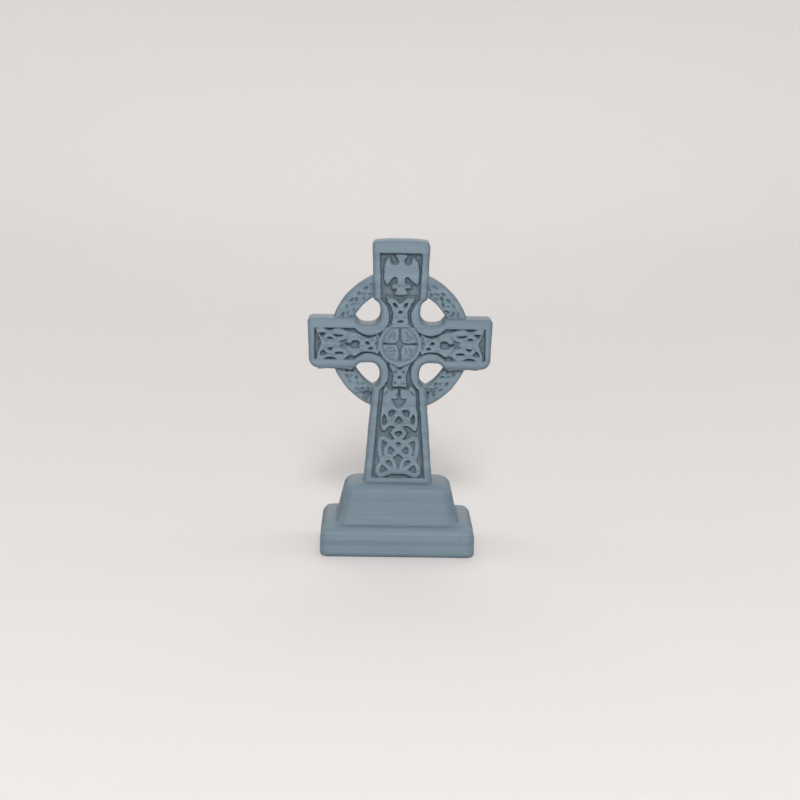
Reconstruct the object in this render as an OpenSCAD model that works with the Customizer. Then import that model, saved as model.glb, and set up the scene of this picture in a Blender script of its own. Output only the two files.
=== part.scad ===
// Ringed cross on a stepped plinth, one printed piece.
// Front is -Y, +X is to the right, the underside rests on z = 0.

/* [Overall] */
// Height from the underside to the top of the head
total_h = 60; // [50:0.5:75]
// Span of the arms, tip to tip
arm_span = 35.6; // [31:0.2:44]
// Thickness of the cross, front to back
cross_t = 7.2; // [5.5:0.1:9]

/* [Plinth] */
// Width of the lower step
step_w = 29.5; // [26:0.1:40]
// Depth of the lower step
step_d = 22.2; // [19:0.1:28]
// Height of the lower step
step_h = 6.1; // [4:0.1:8]
// Width of the upper block at its foot
block_w = 23.4; // [20:0.1:25]
// Depth of the upper block at its foot
block_d = 16.2; // [13:0.1:18]
// Height of the upper block
block_h = 7.1; // [5:0.1:9]
// How far each side of the upper block leans in
block_lean = 1.7; // [0.5:0.1:2.2]
// Radius of the plinth's upright corners
plinth_corner_r = 1.3; // [0.8:0.1:2]
// Rounding of the plinth's upper edges
plinth_edge_r = 1; // [0.4:0.1:1.4]

/* [Cross] */
// Height of the arms' middle above the underside
arm_z = 40.15; // [37:0.1:43]
// Height of the arms, top edge to bottom edge
arm_h = 9.7; // [8:0.1:11.6]
// How much further the arms reach at the top than at the bottom
arm_rake = 0.4; // [0:0.1:1]
// Width of the shaft where it leaves the plinth
shaft_w = 13.2; // [11.5:0.1:16]
// Width of the shaft and head beside the ring's openings
neck_w = 10; // [8.6:0.1:12]
// Width of the head at its top
head_w = 11.1; // [9.5:0.1:13.4]
// Half-width of the rounded armpits
armpit_r = 2.45; // [1.8:0.05:2.8]
// How square the armpits are: 2 is a circle
armpit_power = 2.6; // [2:0.1:4]
// How far an armpit's centre lies outside the two edges that meet there
armpit_out = 1.25; // [0.8:0.05:1.6]
// Rounding of the cross's long edges
edge_r = 0.7; // [0.3:0.05:1]
// Rounding of the corners at the top of the arms and head
tip_r = 0.9; // [0.4:0.1:1.4]
// Rounding of the corners under the arms
low_tip_r = 1.4; // [0.4:0.1:2]

/* [Ring] */
// Outer radius of the ring
ring_r = 13.6; // [12.6:0.1:15.6]
// Width of the ring, inside edge to outside edge
ring_w = 3.6; // [2.6:0.1:4.2]
// Thickness of the ring, front to back
ring_t = 4; // [3:0.1:5.2]
// How far the ring's centre lies above the arms' middle
ring_lift = 0.25; // [0:0.05:0.6]
// Width of the ring's plain rim
ring_rim = 1.2; // [0.6:0.1:1.6]

/* [Carving] */
// Width of the frame along the sides of the panels
frame_w = 1.55; // [1:0.05:2]
// Radius of the frame's inner edge round the armpits
armpit_frame_r = 3.8; // [3.2:0.05:4.2]
// Width of the frame above the head's panel
top_frame_w = 2.6; // [1.6:0.1:3.4]
// Depth of the sunk ground on the front
carve_depth = 0.7; // [0.3:0.05:1]
// Depth of the plain panels on the back
back_depth = 0.5; // [0.2:0.05:0.8]
// Width of a knot's strand
strand_w = 0.8; // [0.6:0.05:1]
// Radius of the round boss at the crossing
boss_r = 4.15; // [3.6:0.05:4.6]
// Width of the boss's rim
boss_rim = 0.85; // [0.6:0.05:1.1]
// Depth of the shallow grooves on the boss and the ring
groove_depth = 0.3; // [0.1:0.05:0.4]

/* [Hidden] */
$fn = 48;

plinth_h = step_h + block_h;
arm_top = arm_z + arm_h / 2;
arm_low = arm_z - arm_h / 2;
ring_z = arm_z + ring_lift;
armpit_x = neck_w / 2 + armpit_out;
armpit_dz = arm_h / 2 + armpit_out;
root_z = plinth_h - 1;           // the shaft's foot is sunk into the plinth
field_low = plinth_h + 0.9;      // lower edge of the shaft's panel
field_top = total_h - top_frame_w;
armpit_frame_in = [0.4, 0.65];   // how far its frame's centre lies inside an armpit's own
boss_z = arm_z - 0.1;
arc_steps = 10;                 // points round an armpit
corner_steps = 4;               // steps round a corner or an edge

// Sizes of the fields that the carvings are drawn on, before they are fitted to the panels
HEAD_ART = [8, 13.4];
SHAFT_ART = [8, 22];
ARM_ART = [12.1, 6];

body_color = [0.44, 0.52, 0.58];

// ---- Small geometry helpers ----

function lerp(a, b, t) = a + (b - a) * t;

function polar(r, a) = [r * cos(a), r * sin(a)];

function last(list) = len(list) - 1;

function reversed(list) = [for (i = [last(list) : -1 : 0]) list[i]];

// One point of the smooth curve that runs through b and c
function spline_point(a, b, c, d, t) =
    0.5 * (2 * b + (c - a) * t + (2 * a - 5 * b + 4 * c - d) * t * t + (3 * b - a - 3 * c + d) * t * t * t);

// A smooth open curve through the points p, n steps a span
function smooth(p, n = 3) = concat(
    [for (i = [0 : last(p) - 1], k = [0 : n - 1])
        spline_point(p[max(i - 1, 0)], p[i], p[i + 1], p[min(i + 2, last(p))], k / n)],
    [p[last(p)]]);

// The direction across a path at its point i
function across(p, i) =
    let (d = p[min(i + 1, last(p))] - p[max(i - 1, 0)])
    [-d[1], d[0]] / norm(d);

// The outline of a band of width w along the path p
function ribbon(p, w) = concat(
    [for (i = [0 : last(p)]) p[i] + across(p, i) * w / 2],
    [for (i = [last(p) : -1 : 0]) p[i] - across(p, i) * w / 2]);

// A strand of a knot, with round ends
module strand(points, w = strand_w) {
    path = smooth(points);
    polygon(ribbon(path, w));
    for (end = [path[0], path[last(path)]])
        translate(end) circle(d = w, $fn = 10);
}

// A pointed oval between x0 and x1, such as a gap between two strands
module lens(x0, x1, y, h) {
    half = (x1 - x0) / 2;
    translate([x0 + half, y]) scale([half, h / 2]) circle(r = 1, $fn = 12);
}

module mirrored() {
    children();
    mirror([1, 0]) children();
}

// Draws a carving of the size drawn on a field of the size wanted
module fit_to(wanted, drawn) {
    scale([wanted[0] / drawn[0], wanted[1] / drawn[1]]) children();
}

// A flat drawing in X and Z, cut depth deep into the plane y = -from on the front
module sunk(from, depth) {
    translate([0, depth - from, 0]) rotate([90, 0, 0]) linear_extrude(depth + 1) children();
}

// A closed solid through rings of points, with the end caps given as lists of faces
module lofted(rings, low_cap, high_cap) {
    n = len(rings[0]);
    levels = len(rings);
    wall = [for (k = [0 : levels - 2], i = [0 : n - 1], half = [0, 1])
        let (a = k * n + i, b = k * n + (i + 1) % n)
        half == 0 ? [a, a + n, b + n] : [a, b + n, b]];
    base = (levels - 1) * n;
    polyhedron(
        points = [for (r = rings) each r],
        faces = concat(wall, low_cap, [for (f = high_cap) [for (i = f) i + base]]));
}

// ---- Plinth ----

// Points of a rectangle with round corners, at the height z
function round_rect(w, d, r, z) = [
    for (q = [0 : 3], k = [0 : corner_steps])
        let (sx = (q == 0 || q == 3) ? 1 : -1, sy = q < 2 ? 1 : -1)
        [sx * (w / 2 - r), sy * (d / 2 - r), z]
            + concat(polar(r, q * 90 + 90 * k / corner_steps), [0])];

// Rings that round off a top edge: each is [how far in, how far below the top]
function edge_profile(r) = [
    for (k = [0 : corner_steps]) let (a = 90 * k / corner_steps) [r * (1 - cos(a)), r * (1 - sin(a))]];

module plinth() {
    foot_r = 1;
    cove = 0.7;
    top_w = block_w - 2 * block_lean;
    top_d = block_d - 2 * block_lean;
    r = plinth_corner_r;
    step_rings = concat(
        [round_rect(step_w - 2 * foot_r, step_d - 2 * foot_r, r - foot_r, 0),
         round_rect(step_w - 0.6 * foot_r, step_d - 0.6 * foot_r, r - 0.3 * foot_r, 0.3 * foot_r),
         round_rect(step_w, step_d, r, foot_r)],
        [for (e = edge_profile(plinth_edge_r))
            round_rect(step_w - 2 * e[0], step_d - 2 * e[0], r, step_h - e[1])]);
    block_rings = concat(
        [for (k = [0 : corner_steps])
            let (a = 90 * k / corner_steps, out = cove * (1 - sin(a)), up = cove * (1 - cos(a)))
            round_rect(block_w + 2 * out, block_d + 2 * out, r + out, step_h + up)],
        [for (e = edge_profile(plinth_edge_r))
            round_rect(top_w - 2 * e[0], top_d - 2 * e[0], r, plinth_h - e[1])]);
    rings = concat(step_rings, block_rings);
    n = len(rings[0]);
    lofted(rings, [[for (i = [0 : n - 1]) i]], [[for (i = [n - 1 : -1 : 0]) i]]);
}

// ---- Cross ----

// Half the width of the shaft and head at the height z
function half_w(z) = z < arm_z
    ? lerp(shaft_w, neck_w, (z - plinth_h) / (arm_low - armpit_out - plinth_h)) / 2
    : lerp(neck_w, head_w, (z - arm_top - armpit_out) / (total_h - arm_top - armpit_out)) / 2;

// Reach of an arm at the height z
function reach(z) = arm_span / 2 - arm_rake * (arm_top - z) / arm_h;

// A point of an armpit's curve, inset by e, in the direction a
function armpit_point(a, e) =
    let (n = armpit_power, bulge = pow(pow(abs(cos(a)), n) + pow(abs(sin(a)), n), -1 / n))
    polar((armpit_r + e) * bulge, a);

// The direction, off an armpit's inner side, in which its curve meets a straight edge
function armpit_end(e) =
    let (n = armpit_power, out = armpit_out + e)
    atan2(pow(pow(armpit_r + e, n) - pow(out, n), 1 / n), -out);

// One of an armpit's two halves, from its innermost corner to the upright edge beside it
function armpit_side(e) =
    [for (k = [0 : arc_steps]) armpit_point(lerp(225, armpit_end(e), k / arc_steps), e)];

// The right side of the head, from the armpit's innermost corner up to the top's end, inset by e
function head_side(e) = concat(
    [for (p = armpit_side(e)) [armpit_x, arm_z + armpit_dz] + p],
    [for (k = [0 : corner_steps])
        [half_w(total_h - tip_r) - e - tip_r, total_h - e - tip_r] + polar(tip_r, 90 * k / corner_steps)]);

// The right side of the shaft, from the armpit's innermost corner down to the foot
function shaft_side(e) = concat(
    [for (p = armpit_side(e)) [armpit_x + p[0], arm_z - armpit_dz - p[1]]],
    [[half_w(root_z) - e, root_z]]);

// An edge of the right arm, from the armpit's innermost corner out to the tip: up is 1 above and -1 below
function arm_side(e, up) =
    let (c = up > 0 ? tip_r : low_tip_r, edge = arm_z + up * (arm_h / 2 - e))
    concat(
        [for (p = armpit_side(e)) [armpit_x + p[1], arm_z + up * (armpit_dz + p[0])]],
        [for (k = [0 : corner_steps])
            let (a = 90 - 90 * k / corner_steps, zc = edge - up * c)
            [reach(zc) - e - c + c * cos(a), zc + up * c * sin(a)]]);

// One strip of the outline's points is listed for each of the eight sides, so that
// the flat faces can be built across matching pairs of points
function outline(e) =
    let (head = head_side(e), shaft = shaft_side(e), above = arm_side(e, 1), below = arm_side(e, -1))
    concat(
        head, [for (p = reversed(head)) [-p[0], p[1]]],
        [for (p = above, i = [0]) if (p != above[0]) [-p[0], p[1]]],
        [for (p = reversed(below)) [-p[0], p[1]]],
        [for (p = shaft) if (p != shaft[0]) [-p[0], p[1]]],
        [for (p = reversed(shaft)) p],
        [for (p = below) if (p != below[0]) p],
        [for (p = reversed(above)) if (p != above[0]) p]);

// Faces that join two facing runs of the outline, which start at a and b and run towards each other
function rungs(a, b, n) = [for (i = [0 : n - 2]) [a + i, b - i, b - i - 1, a + i + 1]];

module cross_body() {
    n_head = arc_steps + 1 + corner_steps + 1;
    n_arm = n_head;
    n_shaft = arc_steps + 2;
    left_above = 2 * n_head - 1;
    left_below = left_above + 2 * n_arm - 1;
    left_shaft = left_below;
    right_shaft = left_shaft + 2 * n_shaft - 1;
    right_below = right_shaft;
    total = right_below + 2 * n_arm - 1;
    profile = edge_profile(edge_r);
    back = [for (e = reversed(profile)) [e[0], cross_t / 2 - e[1]]];
    front = [for (e = profile) [e[0], e[1] - cross_t / 2]];
    rings = [for (l = concat(back, front)) [for (p = outline(l[0])) [p[0], l[1], p[1]]]];
    cap = concat(
        rungs(0, left_above, n_head),
        rungs(left_above, left_below, n_arm),
        rungs(left_shaft, right_shaft, n_shaft),
        [for (f = rungs(right_below, total, n_arm)) [for (i = f) i % total]],
        [[right_shaft, left_below, left_above, 0]]);
    lofted(rings, [for (f = cap) reversed(f)], cap);
}

// ---- Ring ----

module ring() {
    translate([0, 0, ring_z]) rotate([90, 0, 0]) rotate_extrude($fn = 96) ring_section();
}

// Section of the ring: a plain rim outside and a slightly sunk band inside
module ring_section() {
    inner = ring_r - ring_w;
    band = ring_r - ring_rim;
    bevel = 0.35;
    half = ring_t / 2;
    sunk_half = half - groove_depth / 2;
    polygon([
        [inner, -sunk_half], [band, -sunk_half], [band + 0.15, -half],
        [ring_r - bevel, -half], [ring_r, bevel - half], [ring_r, half - bevel],
        [ring_r - bevel, half], [band + 0.15, half], [band, sunk_half], [inner, sunk_half]]);
}

// Two rows of small pits between the strands of the ring's plait
module ring_pits() {
    pitch = 1.9;
    pit = [0.62, 0.34];
    rows = [ring_r - ring_rim - 0.45, ring_r - ring_rim - 1.35];
    count = round(2 * PI * rows[0] / pitch);
    for (row = [0, 1], i = [0 : count - 1])
        rotate(360 * (i + row / 2) / count) translate([rows[row], 0])
            scale([pit[1], pit[0]]) circle(d = 1, $fn = 8);
}

// ---- Panels ----

// The middle of the frame's curve round each of the four armpits
module armpit_frames() {
    for (sx = [-1, 1], sz = [-1, 1])
        translate([sx * (armpit_x - armpit_frame_in[0]), arm_z + sz * (armpit_dz - armpit_frame_in[1])])
            children();
}

// The whole sunk ground: head, shaft and arms, narrowed round the armpits and the boss
module field(boss) {
    difference() {
        union() {
            polygon([
                [-half_w(arm_top) + frame_w, arm_z], [-half_w(field_top) + frame_w, field_top],
                [half_w(field_top) - frame_w, field_top], [half_w(arm_top) - frame_w, arm_z]]);
            polygon([
                [-half_w(arm_low) + frame_w, arm_z], [-half_w(field_low) + frame_w, field_low],
                [half_w(field_low) - frame_w, field_low], [half_w(arm_low) - frame_w, arm_z]]);
            translate([-reach(arm_z) + frame_w, arm_low + frame_w + 0.15])
                square([2 * (reach(arm_z) - frame_w), arm_h - 2 * frame_w - 0.5]);
        }
        armpit_frames() circle(r = armpit_frame_r);
        translate([0, boss_z]) circle(r = boss);
    }
}

// ---- Carvings: each is drawn on its own field, with its foot at the origin ----

// Spread eagle over the head's interlaced neck
module head_carving() {
    eagle();
    difference() {
        mirrored() polygon([
            [0, -0.4], [1.8, -0.4], [1.4, 2.2], [2, 3.7], [2.6, 4.2], [2.8, 5.2], [2.1, 4.95],
            [1.4, 5.05], [0, 3.9]]);
        mirrored() translate([0.98, 3.5]) rotate(40) lens(-0.55, 0.55, 0, 0.45);
        lens(-0.35, 0.35, 2.25, 0.5);
        lens(-0.55, 0.55, 0.45, 0.34);
    }
}

module eagle() {
    mirrored() polygon(smooth([
        [0, 13.3], [0.6, 13.25], [1.25, 13.05], [0.95, 12.7], [0.55, 12.2], [0.6, 11.5], [0.9, 11.3],
        [1.6, 11.3], [1.9, 11.55], [1.95, 12.4], [2.25, 12.75], [2.65, 12.55], [3.05, 12], [3.25, 11],
        [3.35, 10], [3.3, 8.8], [2.95, 7.4], [2.3, 8.1], [1.3, 8.95], [0.85, 8.8], [0.75, 8], [1, 7.6],
        [1.9, 7.6], [2, 7], [1.5, 6.4], [1.2, 6.75], [0.85, 6.6], [1.2, 5.9], [0.85, 5.5], [0, 5.4]], 2));
}

// Knotwork of the shaft: a short neck, a broad knot, a small ring and a four-looped knot at the foot
module shaft_carving() {
    shaft_neck();
    shaft_knot();
    translate([0, 8.75]) difference() {
        circle(r = 1.5, $fn = 12);
        lens(-0.6, 0.6, 0, 0.95);
    }
    foot_knot();
}

module shaft_neck() {
    difference() {
        mirrored() polygon([[0, 22], [2, 22.2], [1.5, 21], [1.35, 19.9], [1.65, 17.4], [0, 17.6]]);
        lens(-0.5, 0.5, 21.3, 0.35);
        mirrored() lens(0.55, 1, 20.6, 0.3);
        lens(-0.32, 0.32, 19.55, 0.45);
        mirrored() lens(0.55, 1.1, 18.45, 0.3);
    }
}

module shaft_knot() {
    difference() {
        mirrored() polygon(smooth([
            [0, 17.1], [1.9, 17.1], [3.1, 15.9], [3.4, 13.9], [3.6, 11.9], [3.5, 10.2], [2.8, 9], [2.4, 9.4],
            [2, 9.9], [1.3, 10], [0.8, 9.85], [0, 10.1]], 2));
        translate([-0.2, 15.4]) square([0.4, 3]);
        mirrored() polygon([[0, 15.8], [0.3, 15.4], [1.35, 15.3], [0.9, 14.5], [0, 13.65]]);
        mirrored() polygon([[0.6, 13], [1.9, 13], [1.9, 12.2], [1.5, 11.9], [0.8, 12.7]]);
        mirrored() polygon([[0, 11.9], [0.8, 11], [0, 10.5]]);
        mirrored() polygon([[2.7, 12.3], [3.05, 11.4], [3.05, 10.5], [2.6, 10.4], [2.4, 11.1]]);
    }
    mirrored() strand([[2.1, 17.7], [2.9, 17.3], [3.3, 16.1]], 0.6);
}

module foot_knot() {
    mirrored() {
        strand([[3.3, 7.9], [3.6, 6.7], [3.55, 5.2], [3.15, 3.5], [2.4, 2.6], [1.5, 1.7], [0, 1.15]]);
        strand([[3.3, 7.9], [2.4, 7.35], [1.6, 7], [0.9, 7.2], [0, 7.6]]);
        strand([[-0.3, 5.65], [0.6, 4.75], [1.5, 4.2], [2.2, 4.6], [2.4, 5.3]]);
        strand([[2.4, 5.3], [2.2, 6.1], [1.4, 6.35], [0.6, 5.9], [-0.3, 5]]);
        strand([[0.5, 1.3], [0.65, 2.5], [1.2, 3.4], [2.2, 3.5], [3.1, 2.8], [3.8, 1.9]]);
        strand([[3.8, 1.9], [3.85, 0.7], [3, 0.45], [1.7, 0.95], [0, 1.15]]);
    }
}

// Interlace of one arm: x runs outwards from the boss, y is measured from the arm's middle
module arm_carving() {
    difference() {
        polygon(smooth([
            [-0.3, 1.6], [0.4, 1.5], [1.85, 1.05], [3.3, 1.3], [4.3, 1.95], [5.6, 2.2], [6.8, 2.75],
            [8.4, 2.8], [9.4, 2.35], [10.4, 2.75], [11.7, 2.8], [11.95, 2.3], [11, 0], [11.95, -2.2],
            [11.7, -3], [10.4, -2.95], [9.3, -2.5], [8, -2.6], [6.8, -2.95], [5.6, -2.5], [4.3, -2.2],
            [3.3, -1.7], [1.85, -1.6], [0.3, -1.7], [-0.3, -1.6]], 2));
        polygon([[11.25, 1.85], [10.25, 1.75], [10.8, 1.2]]);
        polygon([[10.95, -2.3], [9.85, -2.05], [10.55, -1.4]]);
        polygon([[9.6, -1], [8.55, -0.75], [9.15, -1.4]]);
        lens(8.8, 9.75, 0.95, 0.4);
        lens(6.75, 8.65, 1.45, 0.4);
        lens(6.65, 8.35, -1.95, 0.4);
        translate([3.75, -0.7]) square([1.2, 1.1]);
        polygon([
            [4.9, 0.2], [6.2, 0.25], [7.45, 0.5], [6.6, -0.1], [7.45, -0.65], [6.2, -0.35], [4.9, -0.4]]);
        lens(1.75, 2.45, 0.05, 0.5);
        lens(1.1, 1.8, -0.95, 0.35);
    }
}

// All the raised work inside the field
module carvings() {
    head_low = boss_z + boss_r - 0.1;
    shaft_top = boss_z - boss_r;
    arm_field = reach(arm_z) - frame_w - boss_r;
    head_field_w = 2 * (half_w(field_top) - frame_w);
    shaft_field_w = neck_w - 2 * frame_w + 1.1;
    translate([0, head_low]) fit_to([head_field_w, field_top - head_low], HEAD_ART) head_carving();
    translate([0, field_low]) fit_to([shaft_field_w, shaft_top - field_low], SHAFT_ART) shaft_carving();
    translate([0, arm_z]) mirrored() translate([boss_r, 0])
        fit_to([arm_field, arm_h - 2 * frame_w - 0.6], ARM_ART) arm_carving();
}

// The boss: four quarters split by a fine cross, with a hollow-sided star at the middle
module boss_cuts() {
    inner = boss_r - boss_rim;
    star = [1.05, 1.25];
    hollow = 1.15;
    translate([0, boss_z]) {
        translate([-inner, -0.12]) square([2 * inner, 0.24]);
        translate([-0.17, -inner]) square([0.34, 2 * inner]);
        difference() {
            square(2 * star, center = true);
            for (sx = [-1, 1], sz = [-1, 1])
                translate([sx * star[0], sz * star[1]]) circle(r = hollow, $fn = 24);
        }
    }
}

// Shallow lines on the boss: the inner edge of its rim and a curl in each quarter
module boss_lines() {
    inner = boss_r - boss_rim;
    line = 0.22;
    translate([0, boss_z]) {
        difference() {
            circle(r = inner + line / 2);
            circle(r = inner - line / 2);
        }
        mirrored() for (up = [-1, 1])
            strand([
                [0.75, up * 0.9], [0.85, up * 2], [1.6, up * 2.5], [2.2, up * 1.7], [1.6, up * 1.1]], line);
    }
}

// ---- The piece ----

module celtic_cross() {
    color(body_color) {
        plinth();
        difference() {
            cross_body();
            sunk(cross_t / 2, carve_depth) offset(delta = 0.01) difference() {
                field(boss_r);
                carvings();
            }
            sunk(cross_t / 2, carve_depth * 0.8) offset(delta = 0.01) boss_cuts();
            sunk(cross_t / 2, groove_depth) offset(delta = 0.01) boss_lines();
            rotate(180) sunk(cross_t / 2, back_depth) offset(delta = 0.01) field(boss_r);
        }
        difference() {
            ring();
            for (turn = [0, 180])
                rotate(turn) translate([0, 0, ring_z])
                    sunk(ring_t / 2, groove_depth) offset(delta = 0.01) ring_pits();
        }
    }
}

celtic_cross();
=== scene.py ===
"""Looks of a small printed ringed cross on a stepped plinth.

One piece of plastic, so one skin: it is modelled as a block of distances in millimetres, the way a
slicer sees a part, and then turned into a mesh that stands for the CAD solid.
"""
import math

import bpy
import numpy as np
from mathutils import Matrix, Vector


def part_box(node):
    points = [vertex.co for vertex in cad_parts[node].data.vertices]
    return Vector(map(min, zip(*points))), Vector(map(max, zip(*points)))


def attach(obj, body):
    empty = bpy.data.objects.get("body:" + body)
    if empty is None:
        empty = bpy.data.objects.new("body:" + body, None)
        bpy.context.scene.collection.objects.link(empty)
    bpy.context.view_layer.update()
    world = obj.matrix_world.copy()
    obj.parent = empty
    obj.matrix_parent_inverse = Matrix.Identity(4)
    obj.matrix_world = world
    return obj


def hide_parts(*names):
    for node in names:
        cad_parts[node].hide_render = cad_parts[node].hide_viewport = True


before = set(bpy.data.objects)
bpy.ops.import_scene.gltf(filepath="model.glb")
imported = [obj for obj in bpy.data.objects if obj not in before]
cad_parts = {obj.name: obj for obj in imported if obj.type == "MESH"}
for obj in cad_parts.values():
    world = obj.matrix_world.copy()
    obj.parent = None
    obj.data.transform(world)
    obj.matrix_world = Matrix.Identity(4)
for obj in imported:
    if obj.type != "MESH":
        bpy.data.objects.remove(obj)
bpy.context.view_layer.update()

import openvdb as vdb
from mathutils import Matrix, Vector

MM = 0.001

# ---- Sizes in millimetres; the overall ones come from the frame ----

CAD_LOW, CAD_HIGH = [[v / MM for v in corner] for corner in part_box("celtic_cross")]
TOTAL_H = CAD_HIGH[2]
STEP_W = 29.5
STEP_D = CAD_HIGH[1] - CAD_LOW[1] - 0.06    # leaves room for layers that lie out
STEP_H = 6.1
BLOCK_W, BLOCK_D, BLOCK_H = 23.4, 16.2, 7.1
BLOCK_LEAN = 1.7
PLINTH_H = STEP_H + BLOCK_H
PLINTH_CORNER_R, BLOCK_CORNER_R = 1.6, 2.2
STEP_EDGE_R, BLOCK_EDGE_R, FOOT_EDGE_R = 2.0, 1.5, 1.0
COVE_R = 0.9
BLOCK_SLANT = 0.97    # distance to a leaning wall, as a share of the offset along X or Y
BLOCK_FOOT = 1.0      # the block begins this high up inside the step
SPECKS = ((-12.7, -11.1, 2.2), (4.05, -10.6, 5.1), (10.15, -10.6, 5.1))    # pits burnt in the front
SPECK_R = 0.17

CROSS_HALF_T = 3.6
ARM_Z, ARM_H = 40.15, 9.7
ARM_REACH = (CAD_HIGH[0] - CAD_LOW[0]) / 2
ARM_RAKE = 0.4
SHAFT_W, NECK_W, HEAD_W = 13.2, 10.0, 11.1
ARMPIT_R, ARMPIT_OUT, ARMPIT_POWER = 2.45, 1.25, 2.6
EDGE_R = 0.9
TIP_R, LOW_TIP_R = 0.9, 1.8
FOOT_FILLET = 0.35
ARM_TOP, ARM_LOW = ARM_Z + ARM_H / 2, ARM_Z - ARM_H / 2

RING_Z = ARM_Z + 0.25
RING_R, RING_INNER_R, RING_HALF_T = 13.6, 10.0, 2.0
RING_EDGE_R, RING_FILLET = 0.5, 0.2
RING_PIT_ROWS = (12.25, 11.5, 10.75)
RING_PIT_PITCH = 1.75

FRAME_W = 1.5
FIELD_LOW, FIELD_TOP = 14.0, 57.4
ARM_FIELD_REACH, ARM_FIELD_HALF_H = 16.3, 3.0
FIELD_ARMPITS = ((5.8, 45.45, 3.78), (5.9, 34.4, 3.86))    # X, Z and radius of the rounds left whole
BOSS_R, BOSS_Z, BOSS_RIM_W = 4.15, 40.0, 0.85

# Levels of the carving, below the face of the cross
TOP = 0.03            # raised work
GROUND = 0.95
PIT = 1.4             # gaps between strands are the deepest
BACK_GROUND = 0.5
SEAM_OUT, SEAM_DEPTH = 0.14, 0.3    # printed paths pull apart along the foot of raised work

# How far a top sinks, how far from the middle that starts, and over what length
STEP_END_SAG, STEP_FRONT_SAG = (0.25, 11, 6), (0.4, 3, 5)
BLOCK_CROWN, HEAD_CROWN = (0.25, 5, 7), (0.35, 2, 5)

LAYER = 0.24          # a 0.2 mm print layer, drawn a little coarser so that it shows
NOZZLE = 0.42         # width of one printed line
TERRACE = 0.85        # 0 for a smooth slope, 1 for one made of steps
FINE_WOBBLE, BROAD_WOBBLE, BROAD_LAYERS = 0.014, 0.022, 5    # spread of one layer, and of layers in fives
LAYER_PLAY = 0.045    # spread of the layers' moves to one side
THREAD_R, WHISKER_R = 0.2, 0.13
ARMPIT_THREAD_Z = 36.62             # threads between the ring and the shaft
RING_SEED, FRONT_SEED, THREAD_SEED, WOBBLE_SEED = 3, 5, 7, 11

VOXELS_PER_LAYER = 2.5
VOXEL = LAYER / VOXELS_PER_LAYER
BAND = 3              # distances are kept this many voxels out from the skin
OVERLAP = 3           # voxels that the upper block of points reaches down into the lower one
SPLIT_Z = PLINTH_H + 0.9            # where the two blocks of points meet
TRIANGLES = 190_000   # number of triangles that the mesh is thinned to; most that one mesh may hold, with a little to spare


# ---- Distances: negative inside the plastic ----

def soft_step(t):
    t = np.clip(t, 0, 1)
    return t * t * (3 - 2 * t)


def rounded(a, b, radius):
    """The overlap of two shapes, with the edge where they meet rounded."""
    a, b = a + radius, b + radius
    return np.minimum(np.maximum(a, b), 0) + np.hypot(np.maximum(a, 0), np.maximum(b, 0)) - radius


def melted(a, b, radius):
    """Two shapes joined, with a fillet in the corner between them."""
    h = np.clip(0.5 + 0.5 * (b - a) / radius, 0, 1)
    return b + (a - b) * h - radius * h * (1 - h)


def lerp(a, b, t):
    return a + (b - a) * t


def sag(away, depth, start, run):
    """How far a top sinks at a distance from its middle."""
    return depth * soft_step((away - start) / run)


class Block:
    """A box of points, one voxel apart, that distances are worked out on."""

    def __init__(self, low, high):
        self.index = [math.floor(v / VOXEL) for v in low]
        counts = [math.ceil(v / VOXEL) - i + 1 for v, i in zip(high, self.index)]
        x, y, z = [((i + np.arange(n)) * VOXEL).astype(np.float32)
                   for i, n in zip(self.index, counts)]
        self.low = [float(x[0]), float(y[0]), float(z[0])]
        self.xs = x
        self.x, self.y, self.z = x[:, None, None], y[None, :, None], z[None, None, :]
        self.shape = tuple(counts)


def printed_z(z):
    """Heights as the printer makes them: most of each layer has one section."""
    turn = 2 * math.pi / LAYER
    return z - TERRACE / turn * np.sin(turn * z)


def half_width(z):
    """Half the width of the shaft below the arms and of the head above them."""
    below = lerp(SHAFT_W, NECK_W, (z - PLINTH_H) / (ARM_LOW - ARMPIT_OUT - PLINTH_H)) / 2
    above = lerp(NECK_W, HEAD_W, (z - ARM_TOP - ARMPIT_OUT) / (TOTAL_H - ARM_TOP - ARMPIT_OUT)) / 2
    return np.where(z < ARM_Z, below, above)


def plinth(block, z):
    """The step and the leaning block on it, with tops that sink towards their edges."""
    x, y = np.abs(block.x), np.abs(block.y)
    step = rounded(x - STEP_W / 2, y - STEP_D / 2, PLINTH_CORNER_R)
    top_sag = sag(x, *STEP_END_SAG) + sag(-block.y, *STEP_FRONT_SAG)
    step = np.maximum(rounded(step, z - STEP_H + top_sag, STEP_EDGE_R), rounded(step, -z, FOOT_EDGE_R))
    lean = BLOCK_LEAN * (z - STEP_H) / BLOCK_H
    upper = rounded(x - BLOCK_W / 2 + lean, y - BLOCK_D / 2 + lean, BLOCK_CORNER_R) * BLOCK_SLANT
    crown = sag(x, *BLOCK_CROWN)
    upper = np.maximum(rounded(upper, z - PLINTH_H + crown, BLOCK_EDGE_R), BLOCK_FOOT - z)
    solid = melted(step, upper, COVE_R)
    for speck in SPECKS:
        away = [v - at for v, at in zip((block.x, block.y, block.z), speck)]
        solid = np.maximum(solid, SPECK_R - np.sqrt(away[0] ** 2 + away[1] ** 2 + away[2] ** 2))
    return solid


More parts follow.
